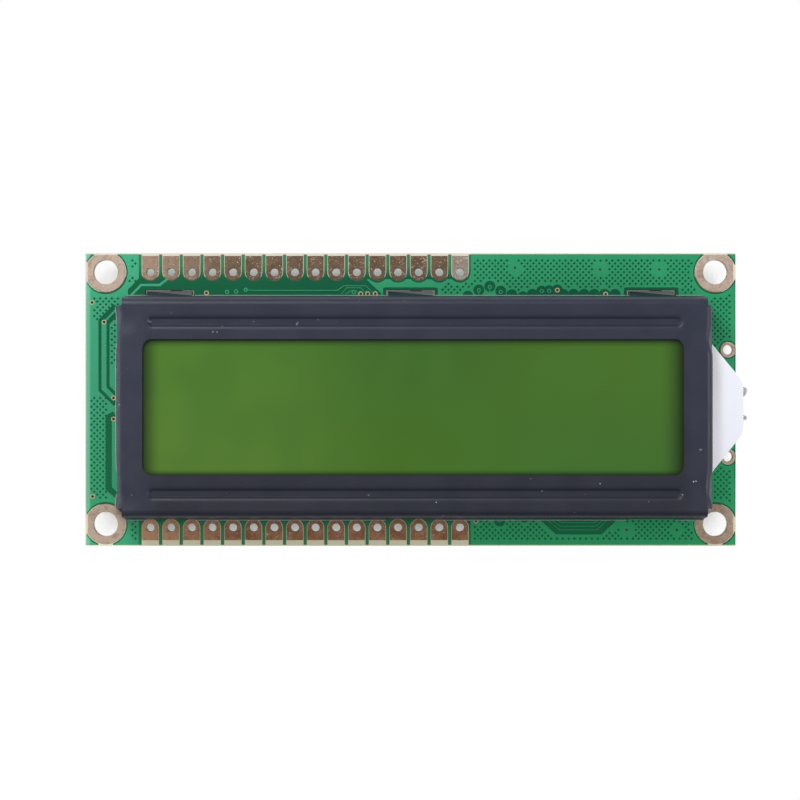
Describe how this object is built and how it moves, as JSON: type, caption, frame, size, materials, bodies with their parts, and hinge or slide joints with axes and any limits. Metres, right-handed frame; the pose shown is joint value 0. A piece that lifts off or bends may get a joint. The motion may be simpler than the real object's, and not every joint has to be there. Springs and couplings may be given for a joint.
{
  "type": "character lcd module",
  "caption": "Character display module: green circuit board with pin contacts, folded steel frame round a blank yellow-green display, and an edge-lit light guide tip at one end.",
  "frame": {"origin": "centre of the four mounting holes, on the rear face of the laminate", "axes": "+X along the pin rows towards the light guide's tip, +Y towards the upper pin row, +Z out of the display"},
  "size_m": [0.0815, 0.036, 0.0105],
  "materials": {
    "board": "solder-masked glass-epoxy laminate, semi-gloss, plated holes",
    "frame_steel": "dark grey stoved paint on folded sheet steel, satin",
    "display_film": "polarising film, semi-gloss",
    "cell_glass": "thin soda-lime glass, polished",
    "rear_film": "yellow-green transflective polariser",
    "seal_resin": "cured clear resin",
    "diffuser_film": "matt white diffusing film",
    "white_film": "white reflecting film, satin",
    "guide_acrylic": "moulded milky acrylic",
    "contact_rubber": "striped silicone elastomer, matt",
    "lamp_resin": "cast lamp resin",
    "tinned_lead": "tinned steel, bright",
    "solder": "tin solder, bright",
    "cover_resin": "black cast epoxy, satin",
    "chip_ceramic": "ceramic with tinned ends",
    "capacitor_ceramic": "tan ceramic with tinned ends"
  },
  "bodies": {
    "root": {"circuit_board": "board", "front_frame": "frame_steel", "front_polariser": "display_film", "front_glass": "cell_glass", "rear_glass": "cell_glass", "rear_polariser": "rear_film", "fill_port_seal": "seal_resin", "diffuser_sheet": "diffuser_film", "reflector_film": "white_film", "tip_cover_film": "white_film", "light_guide": "guide_acrylic", "upper_contact_strip": "contact_rubber", "lower_contact_strip": "contact_rubber", "backlight_lamp": "lamp_resin", "upper_lamp_lead": "tinned_lead", "lower_lamp_lead": "tinned_lead", "lamp_solder_joints": "solder", "controller_cover": "cover_resin", "driver_cover": "cover_resin", "chip_resistor_1": "chip_ceramic", "chip_resistor_2": "chip_ceramic", "chip_resistor_3": "chip_ceramic", "chip_resistor_4": "chip_ceramic", "chip_resistor_5": "chip_ceramic", "chip_resistor_6": "chip_ceramic", "chip_resistor_7": "chip_ceramic", "chip_resistor_8": "chip_ceramic", "chip_capacitor_1": "capacitor_ceramic", "chip_capacitor_2": "capacitor_ceramic", "chip_capacitor_3": "capacitor_ceramic", "chip_capacitor_4": "capacitor_ceramic"}
  },
  "joints": []
}
